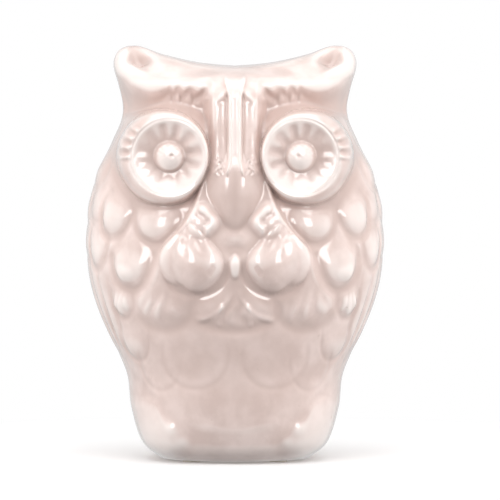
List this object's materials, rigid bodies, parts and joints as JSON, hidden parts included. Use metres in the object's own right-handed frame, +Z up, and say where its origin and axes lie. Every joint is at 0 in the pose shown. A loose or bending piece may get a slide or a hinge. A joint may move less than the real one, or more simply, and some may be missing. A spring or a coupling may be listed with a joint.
{
  "type": "figural animal coin bank",
  "caption": "Glazed ceramic owl coin bank with dished round eyes, overlapping breast feathers, a coin slot behind the head and a press-in stopper underneath.",
  "frame": {"origin": "centre of the bounding box at the underside of the felt pads, on the table", "axes": "+Z up, the owl's face looks along -Y, +X is the viewer's right when facing the owl"},
  "size_m": [0.1096, 0.0976, 0.1505],
  "materials": {
    "glazed_ceramic": "clear gloss glaze over a pale pinkish white slip-cast body",
    "soft_plastic": "satin soft plastic, off-white",
    "felt": "short dense felt, beige"
  },
  "bodies": {
    "bank": {"ceramic_body": "glazed_ceramic", "felt_pad_front_left": "felt", "felt_pad_front_right": "felt", "felt_pad_rear_left": "felt", "felt_pad_rear_right": "felt"},
    "stopper": {"base_stopper": "soft_plastic"}
  },
  "joints": [
    {"name": "stopper_pull", "type": "slide", "parent": "bank", "child": "stopper", "axis": [0, 0, -1], "range_m": [0, 0.03]}
  ]
}
